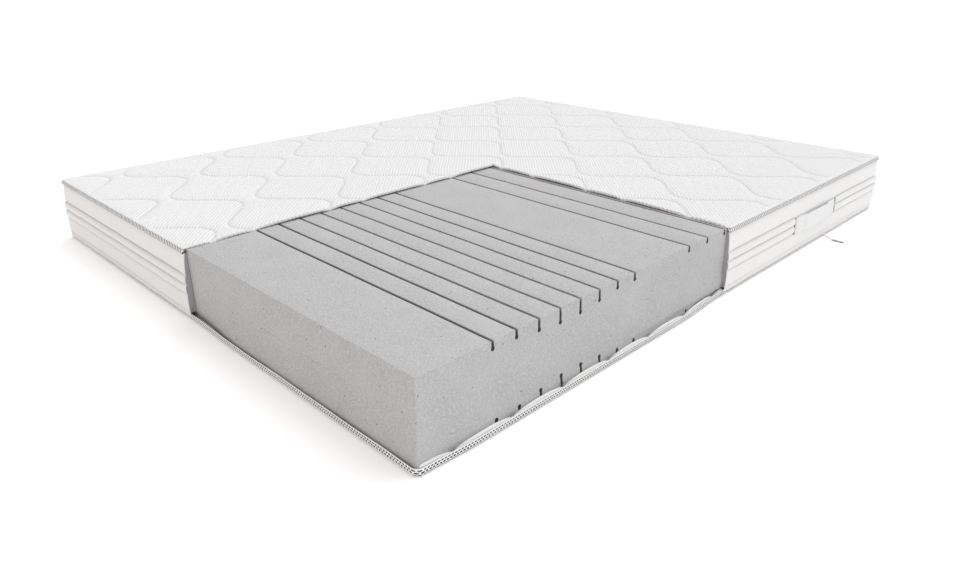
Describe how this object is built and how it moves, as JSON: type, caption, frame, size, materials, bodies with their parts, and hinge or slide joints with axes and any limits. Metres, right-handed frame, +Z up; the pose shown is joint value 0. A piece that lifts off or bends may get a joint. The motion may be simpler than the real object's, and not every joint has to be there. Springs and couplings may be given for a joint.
{
  "type": "memory foam mattress",
  "caption": "Foam mattress in a zipped quilted cover with piped edges and carry straps, shown with a quarter of the cover cut away to bare the slotted foam core.",
  "frame": {"origin": "middle of the face that the mattress lies on, under the centre of its length and width", "axes": "+Z up, Y along the length with the foot end and the cut-away corner at -Y, X across the width with the cut-away corner and the zip slider on +X"},
  "size_m": [1.6794, 2.0084, 0.1879],
  "materials": {
    "foam": "open-celled grey foam, matt",
    "knit": "white ribbed knit, quilted",
    "border_knit": "white fine knit, matt",
    "wadding": "white fibre wadding",
    "lining": "grey non-woven backing",
    "piping": "grey ribbed woven tape",
    "mesh": "white openwork spacer mesh",
    "zip_tape": "light grey woven tape",
    "zip_chain": "nylon coil",
    "strap": "white woven strap",
    "metal": "grey enamelled metal"
  },
  "bodies": {
    "bottom_cover": {"foam_slab_lower": "foam", "foam_slab_upper": "foam", "bottom_panel_knit": "knit", "bottom_panel_wadding": "wadding", "bottom_panel_backing": "lining", "bottom_mesh_band": "mesh", "zip_tape_lower": "zip_tape", "zip_chain_lower": "zip_chain", "zip_end_stop": "metal"},
    "upper_cover": {"top_panel_knit": "knit", "top_panel_wadding": "wadding", "top_panel_backing": "lining", "top_edge_piping": "piping", "zip_chain_upper": "zip_chain", "zip_tape_upper": "zip_tape", "zip_flap": "border_knit", "border_foot_knit": "border_knit", "border_foot_wadding": "wadding", "border_foot_lining": "lining", "border_left_knit": "border_knit", "border_left_wadding": "wadding", "border_left_lining": "lining", "border_head_knit": "border_knit", "border_head_wadding": "wadding", "border_head_lining": "lining", "border_right_knit": "border_knit", "border_right_wadding": "wadding", "border_right_lining": "lining", "handle_right_sewn_end_a": "strap", "handle_right_sewn_end_b": "strap", "handle_left_head_sewn_end_a": "strap", "handle_left_head_sewn_end_b": "strap", "handle_left_foot_sewn_end_a": "strap", "handle_left_foot_sewn_end_b": "strap"},
    "zip_slider": {"zip_slider": "metal", "zip_pull_ribbon": "strap"},
    "zip_pull_tab": {"zip_pull_tab": "metal"},
    "handle_right_strap": {"handle_right_grip": "strap"},
    "handle_left_head_strap": {"handle_left_head_grip": "strap"},
    "handle_left_foot_strap": {"handle_left_foot_grip": "strap"}
  },
  "joints": [
    {"name": "cover_lift", "type": "slide", "parent": "bottom_cover", "child": "upper_cover", "axis": [0, 0, 1], "range_m": [0, 0.25]},
    {"name": "zip_slide", "type": "slide", "parent": "bottom_cover", "child": "zip_slider", "axis": [0, 1, 0], "range_m": [-0.57, 0]},
    {"name": "pull_tab_swing", "type": "hinge", "parent": "zip_slider", "child": "zip_pull_tab", "pos_m": [0.8376, 0.59132, 0.0013], "axis": [0, -1, 0], "range_deg": [0, 110]},
    {"name": "handle_right_pull", "type": "slide", "parent": "upper_cover", "child": "handle_right_strap", "axis": [1, 0, 0], "range_m": [0, 0.025]},
    {"name": "handle_left_head_pull", "type": "slide", "parent": "upper_cover", "child": "handle_left_head_strap", "axis": [-1, 0, 0], "range_m": [0, 0.025]},
    {"name": "handle_left_foot_pull", "type": "slide", "parent": "upper_cover", "child": "handle_left_foot_strap", "axis": [-1, 0, 0], "range_m": [0, 0.025]}
  ]
}
